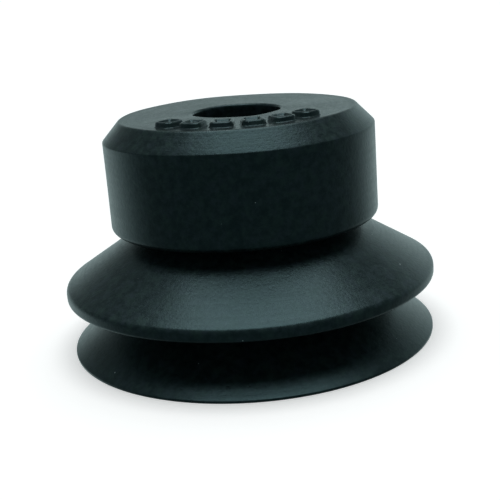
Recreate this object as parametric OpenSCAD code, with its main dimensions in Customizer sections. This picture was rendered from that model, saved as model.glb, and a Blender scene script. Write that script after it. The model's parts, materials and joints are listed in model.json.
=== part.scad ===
// Bellows vacuum pad with one and a half folds, moulded in black rubber.
// Millimetres. The origin is the centre of the sealing face, on the plane that
// the pad stands on, and +Z runs up the pad's axis and out through its head.
// The moulding is divided where its stiffness changes: thick rings that keep
// their shape, and the thin walls between them that fold when the pad is pressed.

/* [Sealing lip] */
// Outer diameter of the sealing lip
lip_d = 30; // [29:0.1:31]
// Radial width of the flat ring that touches the workpiece
land_w = 0.8; // [0.6:0.1:1]
// Height of the lip's sharp outer edge
lip_edge_h = 0.2; // [0.1:0.05:0.3]

/* [Bellows] */
// Outer diameter of the crest of the fold
crest_d = 30.3; // [30:0.1:31]
// Height of the band round the crest
crest_band_h = 1.0; // [0.8:0.1:1.2]
// Height of the middle of the crest band
crest_z = 5.1; // [5:0.1:5.3]
// Radial depth of the solid rubber behind the crest
crest_depth = 1.45; // [1.2:0.05:1.6]
// Outer diameter at the bottom of the valley between the fold and the lip
waist_d = 20.4; // [20:0.1:21]
// Inner diameter of the waist
waist_bore_d = 18; // [17.6:0.1:18.2]
// Height of the valley
waist_z = 3.85; // [3.8:0.05:3.9]
// Height of the solid ring inside the valley
waist_h = 1.8; // [1.6:0.1:2.2]
// Where the skirt divides: outside this radius it flattens, inside it tilts
skirt_split_r = 12.2; // [12:0.1:12.4]
// Slope of the upper fold wall, in degrees below the horizontal
upper_slope = 32; // [31:0.5:33]
// Thickness of the upper fold wall beside the neck, measured along Z
upper_wall_h = 1; // [0.8:0.05:1.1]

/* [Head] */
// Overall height of the free pad
pad_h = 18.6; // [18:0.1:20]
// Diameter of the head
head_d = 21.8; // [21:0.1:22.5]
// Height of the head
head_h = 8.8; // [8.6:0.1:8.8]
// Height of the sloping edge round the top of the head
chamfer_h = 1.5; // [1:0.1:2]
// Radial width of the same edge
chamfer_w = 1.4; // [1:0.1:2]
// Diameter of the neck under the head
neck_d = 16.8; // [16.6:0.1:17]

/* [Stem bore] */
// Diameter of the bore that grips the stem
bore_d = 7; // [6:0.1:8]
// Thickness of the web above the flange pocket
web_h = 3.6; // [3:0.1:4]
// Height of the pocket that holds the stem's flange
pocket_h = 2.4; // [2:0.1:2.8]
// Diameter of the same pocket
pocket_d = 11; // [10:0.1:12]

/* [Raised marks] */
// Number of plain raised blocks on the top face
mark_count = 6; // [3:1:7]
// Angle between neighbouring blocks
mark_pitch = 17; // [17:0.5:20]
// Radius at the middle of each block
mark_r = 7.55; // [7.5:0.05:7.7]
// Length of each block towards the rim
mark_len = 1.9; // [1.6:0.05:2]
// Width of each block
mark_w = 1.8; // [1.5:0.05:1.85]
// Height of each block above the top face
mark_h = 0.4; // [0.2:0.05:0.5]

/* [Hidden] */
$fn = 96;

rubber = [0.12, 0.14, 0.14];
thin_rubber = [0.16, 0.18, 0.18];

// Free gap between a folding wall and the ring that it hangs from
seam = 0.03;
// Break on the crest's and the bore's sharp corners
corner = 0.15;
// Rounding under the head's outer corner
foot = 0.5;
// Corner radius of a raised block
mark_corner = 0.55;

lip_r = lip_d / 2;
land_r = lip_r - land_w;
crest_r = crest_d / 2;
crest_in_r = crest_r - crest_depth;
waist_r = waist_d / 2;
waist_in_r = waist_bore_d / 2;
neck_r = neck_d / 2;
head_r = head_d / 2;
face_r = head_r - chamfer_w;
bore_r = bore_d / 2;
pocket_r = pocket_d / 2;

head_z = pad_h - head_h;
pocket_top = pad_h - web_h;
pocket_bottom = pocket_top - pocket_h;

crest_top = crest_z + crest_band_h / 2;
crest_bottom = crest_z - crest_band_h / 2;
// The hollow inside the fold ends in this narrow groove
groove_top = crest_z + 0.25;
groove_bottom = crest_z + 0.1;

// Heights of the waist ring, and of the two walls where they leave it
waist_top = waist_z + waist_h / 2;
waist_bottom = waist_z - waist_h / 2;
valley_half = 0.1;

// Height of the land's inner edge, and of the flare's underside beside it
land_h = 0.8;
flare_under_z = 0.1;

// Top of the upper fold wall at radius r: a straight cone through the crest's top edge
function upper_top(r) = crest_top + (crest_r - corner - r) * tan(upper_slope);

// Height at radius r on the straight line between two points of an outline
function along(a, b, r) = a[1] + (b[1] - a[1]) * (r - a[0]) / (b[0] - a[0]);

// Underside of the lower fold wall: a straight cone from the crest to the valley
crest_foot = [crest_r - corner, crest_bottom];
valley_top = [waist_r, waist_z + valley_half];
function lower_under(r) = along(crest_foot, valley_top, r);

// Outer face and underside of the lip's flared wall: two cones from the waist to the land
function skirt_top(r) = along([waist_r, waist_z - valley_half], [land_r, land_h], r);
function skirt_under(r) = along([waist_r, waist_bottom], [land_r, flare_under_z], r);

// A solid of revolution about the pad's axis, from its half outline
module ring(outline) {
    rotate_extrude() polygon(outline);
}

// A stretch of the flared wall between two radii
module skirt_wall(inner, outer) {
    ring([
        [inner, skirt_under(inner)],
        [outer, skirt_under(outer)],
        [outer, skirt_top(outer)],
        [inner, skirt_top(inner)]
    ]);
}

// The flat land that seals against the workpiece, with the lip's outer edge
module sealing_edge() {
    color(rubber) ring([
        [land_r, 0],
        [lip_r, 0],
        [lip_r, lip_edge_h],
        [land_r, land_h]
    ]);
}

// The outer half of the flared wall, which flattens on the workpiece
module lip_flare() {
    color(thin_rubber) skirt_wall(skirt_split_r, land_r - seam);
}

// The inner half of the flared wall, which bends as the pad tilts
module lip_skirt() {
    color(thin_rubber) skirt_wall(waist_r + seam, skirt_split_r - seam);
}

// The thick ring in the valley between the fold and the lip
module waist_ring() {
    color(rubber) ring([
        [waist_in_r, waist_bottom + corner],
        [waist_in_r + corner, waist_bottom],
        [waist_r, waist_bottom],
        [waist_r, waist_top],
        [waist_in_r + corner, waist_top],
        [waist_in_r, waist_top - corner]
    ]);
}

// The thin wall from the waist out to the crest
module lower_fold_wall() {
    inner = waist_r + seam;
    outer = crest_in_r - seam;
    color(thin_rubber) ring([
        [inner, lower_under(inner)],
        [outer, lower_under(outer)],
        [outer, groove_bottom],
        [inner, waist_top]
    ]);
}

// The solid band of rubber round the outside of the fold
module crest_ring() {
    color(rubber) ring([
        [crest_in_r, lower_under(crest_in_r)],
        crest_foot,
        [crest_r, crest_bottom + corner],
        [crest_r, crest_top - corner],
        [crest_r - corner, crest_top],
        [crest_in_r, upper_top(crest_in_r)]
    ]);
}

// The thin sloping wall from the crest up to the neck
module upper_fold_wall() {
    inner = neck_r + seam;
    outer = crest_in_r - seam;
    color(thin_rubber) ring([
        [inner, upper_top(inner) - upper_wall_h],
        [outer, groove_top],
        [outer, upper_top(outer)],
        [inner, upper_top(inner)]
    ]);
}

// The short thick ring that joins the bellows to the head
module neck_ring() {
    bottom = upper_top(neck_r) - upper_wall_h;
    color(rubber) ring([
        [bore_r, bottom],
        [neck_r, bottom],
        [neck_r, head_z],
        [bore_r, head_z]
    ]);
}

// The thick head, with its bore and the hidden pocket for the stem's flange
module head_collar() {
    color(rubber) ring([
        [bore_r, head_z],
        [head_r - foot, head_z],
        [head_r - foot * (1 - sin(45)), head_z + foot * (1 - cos(45))],
        [head_r, head_z + foot],
        [head_r, pad_h - chamfer_h],
        [face_r, pad_h],
        [bore_r + corner, pad_h],
        [bore_r, pad_h - corner],
        [bore_r, pocket_top],
        [pocket_r, pocket_top],
        [pocket_r, pocket_bottom],
        [bore_r, pocket_bottom]
    ]);
}

// One raised block with rounded corners, centred on the origin
module mark() {
    flat_len = mark_len - 2 * mark_corner;
    flat_w = mark_w - 2 * mark_corner;
    linear_extrude(mark_h) union() {
        square([mark_len, flat_w], center = true);
        square([flat_len, mark_w], center = true);
        for (x = [-1, 1], y = [-1, 1])
            translate([x * flat_len / 2, y * flat_w / 2]) circle(r = mark_corner, $fn = 32);
    }
}

// A row of plain blocks round the front of the bore
module raised_marks() {
    first = -90 - mark_pitch * (mark_count - 1) / 2;
    color(rubber)
        for (i = [0 : mark_count - 1])
            rotate(first + i * mark_pitch) translate([mark_r, 0, pad_h]) mark();
}

sealing_edge();
lip_flare();
lip_skirt();
waist_ring();
lower_fold_wall();
crest_ring();
upper_fold_wall();
neck_ring();
head_collar();
raised_marks();
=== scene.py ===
import json
import math

import bpy
import numpy as np
from mathutils import Matrix, Vector


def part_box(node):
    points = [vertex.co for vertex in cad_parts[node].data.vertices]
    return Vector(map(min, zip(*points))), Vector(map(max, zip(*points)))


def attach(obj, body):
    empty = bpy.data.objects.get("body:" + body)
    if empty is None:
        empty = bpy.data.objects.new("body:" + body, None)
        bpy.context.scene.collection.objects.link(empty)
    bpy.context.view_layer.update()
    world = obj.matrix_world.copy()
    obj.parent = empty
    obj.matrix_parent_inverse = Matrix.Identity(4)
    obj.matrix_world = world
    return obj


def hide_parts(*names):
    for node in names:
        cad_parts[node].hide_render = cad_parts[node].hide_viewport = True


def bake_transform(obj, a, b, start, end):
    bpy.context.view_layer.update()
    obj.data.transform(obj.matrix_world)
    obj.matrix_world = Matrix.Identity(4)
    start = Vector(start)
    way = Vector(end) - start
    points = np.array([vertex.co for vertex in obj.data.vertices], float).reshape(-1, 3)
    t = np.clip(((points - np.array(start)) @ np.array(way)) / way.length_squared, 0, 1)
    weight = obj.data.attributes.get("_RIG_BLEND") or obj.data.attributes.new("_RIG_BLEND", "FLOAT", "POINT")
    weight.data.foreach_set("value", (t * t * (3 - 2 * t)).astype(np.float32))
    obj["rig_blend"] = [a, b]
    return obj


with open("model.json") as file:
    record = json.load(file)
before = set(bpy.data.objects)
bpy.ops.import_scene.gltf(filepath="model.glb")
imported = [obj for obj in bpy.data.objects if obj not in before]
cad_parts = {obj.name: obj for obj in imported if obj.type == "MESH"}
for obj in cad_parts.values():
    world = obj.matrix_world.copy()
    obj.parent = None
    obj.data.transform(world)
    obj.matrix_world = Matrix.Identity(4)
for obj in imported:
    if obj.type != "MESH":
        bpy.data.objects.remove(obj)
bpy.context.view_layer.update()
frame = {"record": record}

MM = 0.001
# Free gap that the CAD leaves beside each folding wall, closed here so that the rubber is unbroken
SEAM = 0.03
# Sides of every turned surface
SIDES = 240
# Longest step along an outline, so that the walls bend smoothly
STEP = 0.16
# Steps in a rounded corner
ARC_STEPS = 6
# Faces that meet at more than this angle, in degrees, are shaded apart
CREASE = 40
# Attribute that keeps each point's place at rest, in millimetres, for the materials
REST = "rest_place"
BLEND = "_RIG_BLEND"


# ---- Sizes, from the frame ----

def reach(node):
    """Outer radius of a turned CAD node."""
    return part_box(node)[1].x / MM


def bottom(node):
    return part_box(node)[0].z / MM


def top(node):
    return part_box(node)[1].z / MM


LIP_R = reach("sealing_edge")
LAND_R = reach("lip_flare") + SEAM
SPLIT_R = reach("lip_skirt") + SEAM
WAIST_R = reach("waist_ring")
CREST_R = reach("crest_ring")
CREST_IN_R = reach("lower_fold_wall") + SEAM
NECK_R = reach("neck_ring")
HEAD_R = reach("head_collar")
BORE_R = frame["record"]["mounts"][0]["dims"]["r_mm"]

LAND_H = top("sealing_edge")
WAIST_BOTTOM = bottom("waist_ring")
WAIST_TOP = top("waist_ring")
WAIST_Z = (WAIST_BOTTOM + WAIST_TOP) / 2
NECK_BOTTOM = bottom("neck_ring")
HEAD_Z = bottom("head_collar")
PAD_H = top("head_collar")

# Heights and thicknesses that the boxes of the nodes don't give
WAIST_IN_R = 9.0
LIP_EDGE_H = 0.2
VALLEY_HALF = 0.1
FLARE_UNDER_Z = 0.1
CREST_BAND_H = 1.0
CREST_CORNER = 0.15
GROOVE_BOTTOM = top("lower_fold_wall")
GROOVE_TOP = bottom("upper_fold_wall")
WEB_H = 3.6
POCKET_R = 5.5
POCKET_H = 2.4
POCKET_TOP = PAD_H - WEB_H
POCKET_BOTTOM = POCKET_TOP - POCKET_H
CHAMFER_W = 1.4
CHAMFER_H = 1.5
FOOT = 0.5

# Small steps that only the visible rubber has: the land's inner edge, the groove along the
# bottom of the valley, and the root of the neck
LAND_STEP = 0.1
VALLEY_GROOVE = 0.08
NECK_STEP = 0.1

# Roundings of corners
LAND_ROUND = 0.05
LIP_ROUND = 0.07
VALLEY_ROUND = 0.04
WAIST_ROUND = 0.2
CREST_UNDER_ROUND = 0.3
CREST_TOP_ROUND = 0.5
NECK_ROUND = 0.05
CHAMFER_ROUND = 0.16
FACE_ROUND = 0.3
BORE_ROUND = 0.2
MOUTH_ROUND = 0.15
POCKET_ROUND = 0.2
WEB_ROUND = 0.1

CREST_EDGE_R = CREST_R - CREST_CORNER
CREST_TOP_IN = top("crest_ring")
UPPER_SLOPE = (top("upper_fold_wall") - CREST_TOP_IN) / (CREST_IN_R - NECK_R - SEAM)
CREST_TOP = CREST_TOP_IN - (CREST_EDGE_R - CREST_IN_R) * UPPER_SLOPE
CREST_BOTTOM = CREST_TOP - CREST_BAND_H


def along(start, end, r):
    """Height at radius r on the line between two points of an outline."""
    return start[1] + (end[1] - start[1]) * (r - start[0]) / (end[0] - start[0])


def upper_top(r):
    return CREST_TOP + (CREST_EDGE_R - r) * UPPER_SLOPE


def lower_under(r):
    return along((WAIST_R, WAIST_Z + VALLEY_HALF), (CREST_EDGE_R, CREST_BOTTOM), r)


def skirt_top(r):
    return along((WAIST_R, WAIST_Z - VALLEY_HALF), (LAND_R, LAND_H), r)


def skirt_under(r):
    return along((WAIST_R, WAIST_BOTTOM), (LAND_R, FLARE_UNDER_Z), r)


# ---- Outlines: (radius, height, rounding), anticlockwise ----

def wall_outline(inner, outer, under, over):
    """A stretch of a wall between two radii, cut square at both ends."""
    return [
        (inner, under(inner), 0),
        (outer, under(outer), 0),
        (outer, over(outer), 0),
        (inner, over(inner), 0),
    ]


def sealing_edge_outline():
    return [
        (LAND_R, FLARE_UNDER_Z, 0),
        (LAND_R + LAND_STEP, 0, LAND_ROUND),
        (LIP_R, 0, LIP_ROUND),
        (LIP_R, LIP_EDGE_H, LIP_ROUND),
        (LAND_R, LAND_H, 0),
    ]


def waist_outline():
    root = WAIST_R - VALLEY_GROOVE
    return [
        (WAIST_IN_R, WAIST_BOTTOM, WAIST_ROUND),
        (WAIST_R, WAIST_BOTTOM, 0),
        (WAIST_R, WAIST_Z - VALLEY_HALF, 0),
        (root, WAIST_Z - VALLEY_HALF / 2, VALLEY_ROUND),
        (root, WAIST_Z + VALLEY_HALF / 2, VALLEY_ROUND),
        (WAIST_R, WAIST_Z + VALLEY_HALF, 0),
        (WAIST_R, WAIST_TOP, 0),
        (WAIST_IN_R, WAIST_TOP, WAIST_ROUND),
    ]


def lower_wall_outline():
    return [
        (WAIST_R, lower_under(WAIST_R), 0),
        (CREST_IN_R, lower_under(CREST_IN_R), 0),
        (CREST_IN_R, GROOVE_BOTTOM, 0),
        (WAIST_R, WAIST_TOP, 0),
    ]


def crest_outline():
    return [
        (CREST_IN_R, lower_under(CREST_IN_R), 0),
        (CREST_R, lower_under(CREST_R), CREST_UNDER_ROUND),
        (CREST_R, upper_top(CREST_R), CREST_TOP_ROUND),
        (CREST_IN_R, upper_top(CREST_IN_R), 0),
        (CREST_IN_R, GROOVE_TOP, 0),
        (CREST_IN_R, GROOVE_BOTTOM, 0),
    ]


def upper_wall_outline():
    return [
        (NECK_R, NECK_BOTTOM, 0),
        (CREST_IN_R, GROOVE_TOP, 0),
        (CREST_IN_R, upper_top(CREST_IN_R), 0),
        (NECK_R, upper_top(NECK_R), 0),
    ]


def head_outline():
    return [
        (BORE_R, NECK_BOTTOM, MOUTH_ROUND),
        (NECK_R, NECK_BOTTOM, 0),
        (NECK_R, upper_top(NECK_R), 0),
        (NECK_R + NECK_STEP, HEAD_Z, NECK_ROUND),
        (HEAD_R, HEAD_Z, FOOT),
        (HEAD_R, PAD_H - CHAMFER_H, CHAMFER_ROUND),
        (HEAD_R - CHAMFER_W, PAD_H, FACE_ROUND),
        (BORE_R, PAD_H, BORE_ROUND),
        (BORE_R, POCKET_TOP, WEB_ROUND),
        (POCKET_R, POCKET_TOP, POCKET_ROUND),
        (POCKET_R, POCKET_BOTTOM, POCKET_ROUND),
        (BORE_R, POCKET_BOTTOM, WEB_ROUND),
    ]


def rounded(outline):
    """The outline's points, with an arc at each corner that has a rounding."""
    made = []
    for index, (r, z, rounding) in enumerate(outline):
        corner = np.array((r, z))
        if not rounding:
            made.append(corner)
            continue
        before = np.array(outline[index - 1][:2]) - corner
        after = np.array(outline[(index + 1) % len(outline)][:2]) - corner
        before /= np.linalg.norm(before)
        after /= np.linalg.norm(after)
        half = math.acos(np.clip(before @ after, -1, 1)) / 2
        inward = (before + after) / np.linalg.norm(before + after)
        centre = corner + inward * rounding / math.sin(half)
        first = corner + before * rounding / math.tan(half) - centre
        last = corner + after * rounding / math.tan(half) - centre
        sweep = math.pi - 2 * half
        for step in range(ARC_STEPS + 1):
            share = step / ARC_STEPS
            mixed = first * math.sin((1 - share) * sweep) + last * math.sin(share * sweep)
            made.append(centre + mixed / math.sin(sweep))
    return made


def fine(points):
    """The same closed outline with no edge longer than STEP."""
    made = []
    for index, start in enumerate(points):
        end = points[(index + 1) % len(points)]
        pieces = max(1, math.ceil(np.linalg.norm(end - start) / STEP))
        made += [start + (end - start) * share / pieces for share in range(pieces)]
    return np.array(made)


# ---- Meshes ----

# Waves round the pad that make it slightly uneven: (count, size, phase, turn with each millimetre up)
RADIAL_WAVES = [(2, 0.022, 0.7, 0.11), (5, 0.012, 0.0, 0.5)]
RISE_WAVES = [(3, 0.02, 1.9, 0.0), (7, 0.01, 0.9, 0.0)]


def sum_waves(waves, angle, z):
    return sum(size * np.sin(count * angle + phase + turn * z) for count, size, phase, turn in waves)


def settle(points):
    """Moves points by the small unevenness of moulded rubber.

    Points on both sides of a seam move alike, and points on the floor stay.
    """
    x, y, z = points.T
    angle = np.arctan2(y, x)
    lift = np.clip(z / WAIST_Z, 0, 1)
    radial = sum_waves(RADIAL_WAVES, angle, z)
    rise = sum_waves(RISE_WAVES, angle, z)
    moved = points.copy()
    moved[:, 0] += lift * radial * np.cos(angle)
    moved[:, 1] += lift * radial * np.sin(angle)
    moved[:, 2] += lift * rise
    return moved


def make_piece(name, points, faces, material, replaced):
    """A closed mesh from points in millimetres, which stands for CAD nodes."""
    mesh = bpy.data.meshes.new(name)
    mesh.from_pydata((points * MM).tolist(), [], faces)
    mesh.shade_smooth()
    mesh.set_sharp_from_angle(angle=math.radians(CREASE))
    rest = mesh.attributes.new(REST, "FLOAT_VECTOR", "POINT")
    rest.data.foreach_set("vector", points.astype(np.float32).ravel())
    mesh.materials.append(material)
    piece = bpy.data.objects.new(name, mesh)
    bpy.context.scene.collection.objects.link(piece)
    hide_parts(*replaced)
    return piece


def turned(name, outline, material, replaced):
    """A ring of rubber: the outline turned about the pad's axis."""
    profile = fine(rounded(outline))
    count = len(profile)
    angles = np.arange(SIDES) * (2 * math.pi / SIDES)
    points = np.empty((SIDES, count, 3))
    points[:, :, 0] = np.cos(angles)[:, None] * profile[:, 0]
    points[:, :, 1] = np.sin(angles)[:, None] * profile[:, 0]
    points[:, :, 2] = profile[:, 1]
    faces = []
    for side in range(SIDES):
        here, there = side * count, (side + 1) % SIDES * count
        for index in range(count):
            after = (index + 1) % count
            faces.append((here + index, there + index, there + after, here + after))
    return make_piece(name, settle(points.reshape(-1, 3)), faces, material, replaced)


def bend(piece, body_a, radius_a, body_b, radius_b, end_slope=0):
    """The piece follows body_a at one radius and body_b at the other, all the way round.

    It leaves both rings smoothly, or with an end_slope of 1 hinges where it meets body_b.
    """
    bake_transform(piece, body_a, body_b, start=(radius_a * MM, 0, 0), end=(radius_b * MM, 0, 0))
    points = np.array([v.co for v in piece.data.vertices])
    radii = np.hypot(points[:, 0], points[:, 1]) / MM
    share = np.clip((radii - radius_a) / (radius_b - radius_a), 0, 1)
    weight = share * share * (3 - end_slope - (2 - end_slope) * share)
    piece.data.attributes[BLEND].data.foreach_set("value", weight.astype(np.float32))


# Raised blocks: sizes, and the levels of their sides as (share of the height, growth), which
# start inside the head, round off at the rim and end in a shallow dished top
MARK_COUNT = 6
MARK_PITCH = 17.0
MARK_LEN = 1.9
MARK_W = 1.8
MARK_CORNER = 0.55
MARK_R = 7.55
MARK_H = top("raised_marks") - PAD_H
# Steps in a block's corner, and the smallest that a corner gets
MARK_ARC = 8
MARK_LEAST_CORNER = 0.1
MARK_LEVELS = [
    (-0.3, 0.08), (0.0, 0.08), (0.05, 0.03), (0.15, 0.0), (0.65, -0.03), (0.82, -0.06),
    (0.93, -0.11), (0.98, -0.16), (1.0, -0.22), (0.96, -0.28), (0.8, -0.34), (0.6, -0.4), (0.5, -0.5),
]


def mark_ring(height, growth):
    """One level of a block: a rectangle with round corners, grown or shrunk."""
    half_len = MARK_LEN / 2 + growth
    half_w = MARK_W / 2 + growth
    corner = max(MARK_CORNER + growth, MARK_LEAST_CORNER)
    ring = []
    for quarter, (x_side, y_side) in enumerate([(1, 1), (-1, 1), (-1, -1), (1, -1)]):
        for step in range(MARK_ARC + 1):
            angle = math.radians(90) * (quarter + step / MARK_ARC)
            ring.append((
                x_side * (half_len - corner) + corner * math.cos(angle),
                y_side * (half_w - corner) + corner * math.sin(angle),
                height,
            ))
    return ring


def raised_marks(material):
    """Plain blocks in an arc in front of the bore, each a closed solid with soft edges."""
    points, faces = [], []
    for mark in range(MARK_COUNT):
        azimuth = math.radians(-90 + (mark - (MARK_COUNT - 1) / 2) * MARK_PITCH)
        out = Vector((math.cos(azimuth), math.sin(azimuth), 0))
        aside = Vector((-out.y, out.x, 0))
        first = len(points)
        rings = [mark_ring(*level) for level in MARK_LEVELS]
        size = len(rings[0])
        for x, y, z in [point for ring in rings for point in ring]:
            points.append(out * (MARK_R + x) + aside * y + Vector((0, 0, PAD_H + z * MARK_H)))
        for level in range(len(rings) - 1):
            for index in range(size):
                here = first + level * size
                after = (index + 1) % size
                faces.append((here + index, here + after, here + size + after, here + size + index))
        faces.append([first + index for index in reversed(range(size))])
        faces.append([first + (len(rings) - 1) * size + index for index in range(size)])
    points = settle(np.array(points))
    return make_piece("raised_blocks", points, faces, material, ["raised_marks"])


# ---- Materials ----

# Colours in linear light: bare rubber, its bloom in two hues, specks of dust, and the shine's tint
BLACK = (0.0042, 0.0078, 0.0086, 1)
GREENISH_BLOOM = (0.019, 0.034, 0.030, 1)
BLUISH_BLOOM = (0.021, 0.030, 0.037, 1)
DUST = (0.32, 0.38, 0.38, 1)
SHINE_TINT = (0.52, 0.93, 1.0, 1)
# Specks: cells in a millimetre, and the smallest and largest radius as a share of a cell
DUST_CELLS = 1.2
DUST_SMALL = 0.02
DUST_LARGE = 0.075
# Roughness of the smoothest rubber, and how much grain, bloom and turned marks each add
ROUGH_BASE = 0.10
ROUGH_GRAIN = 0.16
ROUGH_BLOOM = 0.18
ROUGH_MARKS = 0.12
# Turned marks are this many times deeper on the top face, from this far under it
FACE_DEPTH = 3
FACE_FADE = 0.3
# Relief of the bump: its depth and how much streaks and specks share in it
BUMP_DEPTH = 0.03
STREAK_RELIEF = 0.2
DUST_RELIEF = 0.6


def feed(tree, socket, value):
    """Links a socket to another one, or sets its value."""
    if isinstance(value, bpy.types.NodeSocket):
        tree.links.new(value, socket)
    else:
        socket.default_value = value


def add(tree, kind, inputs=None, **settings):
    """A shader node with its settings and inputs."""
    made = tree.nodes.new("ShaderNode" + kind)
    for name, value in settings.items():
        setattr(made, name, value)
    for name, value in (inputs or {}).items():
        feed(tree, made.inputs[name], value)
    return made


def calc(tree, operation, a, b=0.0, c=0.0):
    return add(tree, "Math", {0: a, 1: b, 2: c}, operation=operation).outputs[0]


def ramp(tree, value, low, high, to_low=0.0, to_high=1.0):
    """value taken from low..high to to_low..to_high, smoothly and without going past either."""
    made = add(
        tree, "MapRange",
        {"Value": value, "From Min": low, "From Max": high, "To Min": to_low, "To Max": to_high},
        interpolation_type="SMOOTHSTEP",
    )
    return made.outputs["Result"]


def noise(tree, vector, scale, detail, roughness=0.5):
    made = add(
        tree, "TexNoise",
        {"Vector": vector, "Scale": scale, "Detail": detail, "Roughness": roughness},
    )
    return made.outputs["Fac"]


def mix(tree, share, a, b):
    made = add(tree, "Mix", data_type="RGBA")
    feed(tree, made.inputs["Factor"], share)
    feed(tree, made.inputs[6], a)
    feed(tree, made.inputs[7], b)
    return made.outputs[2]


def polar(tree):
    """(place at rest, its height, radius less height, direction from the axis), in millimetres."""
    place = add(tree, "Attribute", attribute_name=REST).outputs["Vector"]
    parts = add(tree, "SeparateXYZ", {"Vector": place}).outputs
    flat = add(tree, "CombineXYZ", {"X": parts["X"], "Y": parts["Y"]}).outputs[0]
    radius = add(tree, "VectorMath", {0: flat}, operation="LENGTH").outputs["Value"]
    around = add(tree, "VectorMath", {0: flat}, operation="NORMALIZE").outputs[0]
    down = calc(tree, "SUBTRACT", radius, parts["Z"])
    return place, parts["Z"], down, around


def wound(tree, around, down, spread, pace):
    """Coordinates that run round the axis in two of their parts and down the surface in the third."""
    scaled = add(tree, "VectorMath", {0: around, "Scale": spread}, operation="SCALE").outputs[0]
    parts = add(tree, "SeparateXYZ", {"Vector": scaled}).outputs
    height = calc(tree, "MULTIPLY", down, pace)
    return add(tree, "CombineXYZ", {"X": parts["X"], "Y": parts["Y"], "Z": height}).outputs[0]


def rubber(name, turned_depth, bloom, dust):
    """Matte black moulded rubber, with a cool tint and cloudy bloom.

    It has fine grain, turned mould marks and, in a share of its cells, specks of dust.
    """
    material = bpy.data.materials.new(name)
    material.use_nodes = True
    tree = material.node_tree
    tree.nodes.clear()
    place, level, down, around = polar(tree)

    cloud = noise(tree, place, 1.6, 6, 0.7)
    grain = noise(tree, place, 4.0, 2.5, 0.6)
    marks = noise(tree, wound(tree, around, down, 1.6, 3.4), 1.0, 3, 0.65)
    streaks = noise(tree, wound(tree, around, down, 9.0, 0.14), 1.0, 3, 0.55)

    cells = add(
        tree, "TexVoronoi", {"Vector": place, "Scale": DUST_CELLS, "Randomness": 1.0}, feature="F1"
    )
    chosen = add(tree, "SeparateColor", {"Color": cells.outputs["Color"]}).outputs["Red"]
    size = ramp(tree, chosen, 1 - dust, 1, DUST_SMALL, DUST_LARGE)
    near = calc(tree, "LESS_THAN", cells.outputs["Distance"], size)
    fleck = calc(tree, "MULTIPLY", near, calc(tree, "GREATER_THAN", chosen, 1 - dust))

    cloudy = calc(tree, "MULTIPLY_ADD", streaks, 0.2, calc(tree, "MULTIPLY", cloud, 0.8))
    share = ramp(tree, cloudy, 0.38, 0.64, 0.0, bloom)
    hue = ramp(tree, noise(tree, place, 1.1, 3, 0.6), 0.4, 0.6)
    bloomed = mix(tree, hue, GREENISH_BLOOM, BLUISH_BLOOM)
    clean = mix(tree, share, BLACK, bloomed)
    colour = mix(tree, fleck, clean, DUST)

    dull = calc(tree, "MULTIPLY_ADD", grain, ROUGH_GRAIN, calc(tree, "MULTIPLY", cloudy, ROUGH_BLOOM))
    dull = calc(tree, "MULTIPLY_ADD", marks, ROUGH_MARKS, dull)
    roughness = calc(tree, "ADD", dull, ROUGH_BASE)

    depth = ramp(tree, level, PAD_H - FACE_FADE, PAD_H, turned_depth, FACE_DEPTH * turned_depth)
    height = calc(tree, "MULTIPLY_ADD", marks, depth, grain)
    height = calc(tree, "MULTIPLY_ADD", streaks, STREAK_RELIEF, height)
    height = calc(tree, "MULTIPLY_ADD", fleck, DUST_RELIEF, height)
    bump = add(tree, "Bump", {"Strength": 0.45, "Distance": BUMP_DEPTH * MM, "Height": height})

    shader = add(tree, "BsdfPrincipled", {
        "Base Color": colour,
        "Roughness": roughness,
        "Normal": bump.outputs["Normal"],
        "Specular IOR Level": 0.42,
        "Specular Tint": SHINE_TINT,
    })
    output = add(tree, "OutputMaterial")
    tree.links.new(shader.outputs["BSDF"], output.inputs["Surface"])
    return material


FLOOR_DIM = (0.88, 0.88, 0.88, 1)
FLOOR_PALE = (0.90, 0.90, 0.90, 1)
WHITE = (1.0, 1.0, 1.0, 1)


def floor_material():
    """Pale paper with a very faint cloudiness, and a little glow that keeps it white far away."""
    material = bpy.data.materials.new("pale_floor")
    material.use_nodes = True
    tree = material.node_tree
    shader = tree.nodes["Principled BSDF"]
    place = add(tree, "TexCoord").outputs["Object"]
    cloud = noise(tree, place, 9.0, 2)
    feed(tree, shader.inputs["Base Color"], mix(tree, cloud, FLOOR_DIM, FLOOR_PALE))
    shader.inputs["Roughness"].default_value = 0.9
    shader.inputs["Emission Color"].default_value = WHITE
    shader.inputs["Emission Strength"].default_value = 0.35
    shader.inputs["Specular IOR Level"].default_value = 0.1
    return material


# ---- The pad ----

def build_pad():
    thick = rubber("thick_rubber", turned_depth=0.5, bloom=0.8, dust=0.12)
    thin = rubber("thin_rubber", turned_depth=0.2, bloom=0.75, dust=0.22)

    lip = turned("lip_edge", sealing_edge_outline(), thick, ["sealing_edge"])
    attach(lip, "lip")

    flare_outline = wall_outline(SPLIT_R, LAND_R, skirt_under, skirt_top)
    flare = turned("flare", flare_outline, thin, ["lip_flare"])
    bend(flare, "lip", LAND_R, "skirt", SPLIT_R)

    skirt_outline = wall_outline(WAIST_R, SPLIT_R, skirt_under, skirt_top)
    skirt = turned("skirt", skirt_outline, thin, ["lip_skirt"])
    bend(skirt, "skirt", SPLIT_R, "waist", WAIST_R)

    waist = turned("waist", waist_outline(), thick, ["waist_ring"])
    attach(waist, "waist")

    lower = turned("lower_wall", lower_wall_outline(), thin, ["lower_fold_wall"])
    bend(lower, "waist", WAIST_R, "crest", CREST_IN_R)

    crest = turned("crest", crest_outline(), thick, ["crest_ring"])
    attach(crest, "crest")

    upper = turned("upper_wall", upper_wall_outline(), thin, ["upper_fold_wall"])
    bend(upper, "crest", CREST_IN_R, "head", NECK_R, end_slope=1)

    head_nodes = ["neck_ring", "head_collar"]
    head = turned("head", head_outline(), thick, head_nodes)
    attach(head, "head")
    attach(raised_marks(thick), "head")


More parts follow.
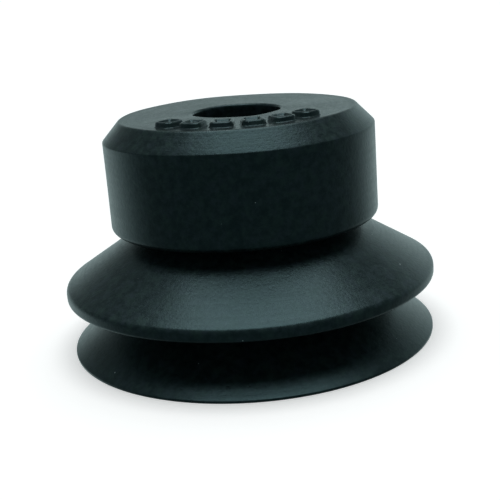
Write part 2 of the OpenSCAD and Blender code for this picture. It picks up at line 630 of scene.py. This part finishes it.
# ---- Floor, light and camera ----

# Half the floor's width, in metres
FLOOR_HALF = 6.0


def build_floor():
    """A wide pale floor, level with the sealing face, that the pad neither reflects nor is lit by."""
    mesh = bpy.data.meshes.new("floor")
    signs = [(-1, -1), (1, -1), (1, 1), (-1, 1)]
    corners = [(x * FLOOR_HALF, y * FLOOR_HALF, 0) for x, y in signs]
    mesh.from_pydata(corners, [], [(0, 1, 2, 3)])
    mesh.materials.append(floor_material())
    floor = bpy.data.objects.new("floor", mesh)
    bpy.context.scene.collection.objects.link(floor)
    floor.visible_glossy = False
    floor.visible_diffuse = False


# The overhead light: towards it, degrees across and strength
OVERHEAD_DIRECTION = Vector((0.03, 0.1, 1.0))
OVERHEAD_SPREAD = 54
OVERHEAD_STRENGTH = 2.0

# The studio's light: its colour, its strength in front, and what the brightest part behind adds
STUDIO_COLOUR = (0.78, 1.0, 1.0, 1)
STUDIO_FRONT = 0.155
STUDIO_BEHIND = 0.65
# How far back the brightness begins and is full, turned a little to one side
BEHIND_FROM = 0.0
BEHIND_FULL = 0.75
BEHIND_TURN = -0.1
# How high it starts to fade, where it ends and what is left there, tipped to the same side
FADE_FROM = 0.14
FADE_TO = 0.40
FADE_LEFT = 0.04
FADE_TIP = -0.28


def build_overhead():
    """A wide soft light very far off, above the pad."""
    data = bpy.data.lights.new("overhead", "SUN")
    data.angle = math.radians(OVERHEAD_SPREAD)
    data.energy = OVERHEAD_STRENGTH
    light = bpy.data.objects.new("overhead", data)
    light.rotation_euler = OVERHEAD_DIRECTION.to_track_quat("Z", "Y").to_euler()
    bpy.context.scene.collection.objects.link(light)


def build_studio():
    """Surroundings that are pale behind the pad and dim in front of it.

    Seen directly, the studio is plain white, like the floor.
    """
    world = bpy.data.worlds.new("studio")
    world.use_nodes = True
    tree = world.node_tree
    direction = add(tree, "TexCoord").outputs["Generated"]
    parts = add(tree, "SeparateXYZ", {"Vector": direction}).outputs
    back = calc(tree, "MULTIPLY_ADD", parts["X"], BEHIND_TURN, parts["Y"])
    behind = ramp(tree, back, BEHIND_FROM, BEHIND_FULL)
    height = calc(tree, "MULTIPLY_ADD", parts["X"], FADE_TIP, parts["Z"])
    level = ramp(tree, height, FADE_FROM, FADE_TO, 1.0, FADE_LEFT)
    bright = calc(tree, "MULTIPLY", behind, level)
    strength = calc(tree, "MULTIPLY_ADD", bright, STUDIO_BEHIND, STUDIO_FRONT)
    studio = tree.nodes["Background"]
    studio.inputs["Color"].default_value = STUDIO_COLOUR
    feed(tree, studio.inputs["Strength"], strength)
    backdrop = add(tree, "Background", {"Color": WHITE, "Strength": 1.0})
    seen = add(tree, "LightPath").outputs["Is Camera Ray"]
    shown = add(tree, "MixShader", {0: seen, 1: studio.outputs[0], 2: backdrop.outputs[0]})
    feed(tree, tree.nodes["World Output"].inputs["Surface"], shown.outputs[0])
    bpy.context.scene.world = world


# The camera, set so that the pad's round edges look as they should in perspective: place in
# metres, turns in degrees, lens and sensor in millimetres
CAMERA_PLACE = Vector((0, -0.0785, 0.0297))
CAMERA_PITCH = 16.2
CAMERA_YAW = 0.13
CAMERA_ROLL = -4.6
CAMERA_LENS = 70.6
CAMERA_SENSOR = 36.0
CAMERA_NEAR = 0.001
CAMERA_FAR = 30


def build_camera():
    data = bpy.data.cameras.new("camera")
    data.lens = CAMERA_LENS
    data.sensor_width = CAMERA_SENSOR
    data.clip_start = CAMERA_NEAR
    data.clip_end = CAMERA_FAR
    camera = bpy.data.objects.new("camera", data)
    pitch, yaw, roll = (math.radians(a) for a in (CAMERA_PITCH, CAMERA_YAW, CAMERA_ROLL))
    forward = Vector((
        math.sin(yaw) * math.cos(pitch),
        math.cos(yaw) * math.cos(pitch),
        -math.sin(pitch),
    ))
    level_right = forward.cross(Vector((0, 0, 1))).normalized()
    level_up = level_right.cross(forward)
    right = level_right * math.cos(roll) + level_up * math.sin(roll)
    up = level_up * math.cos(roll) - level_right * math.sin(roll)
    turn = Matrix((right, up, -forward)).transposed()
    camera.matrix_world = Matrix.Translation(CAMERA_PLACE) @ turn.to_4x4()
    bpy.context.scene.collection.objects.link(camera)
    bpy.context.scene.camera = camera


build_pad()
build_floor()
build_overhead()
build_studio()
build_camera()
bpy.context.scene.view_settings.view_transform = "Standard"
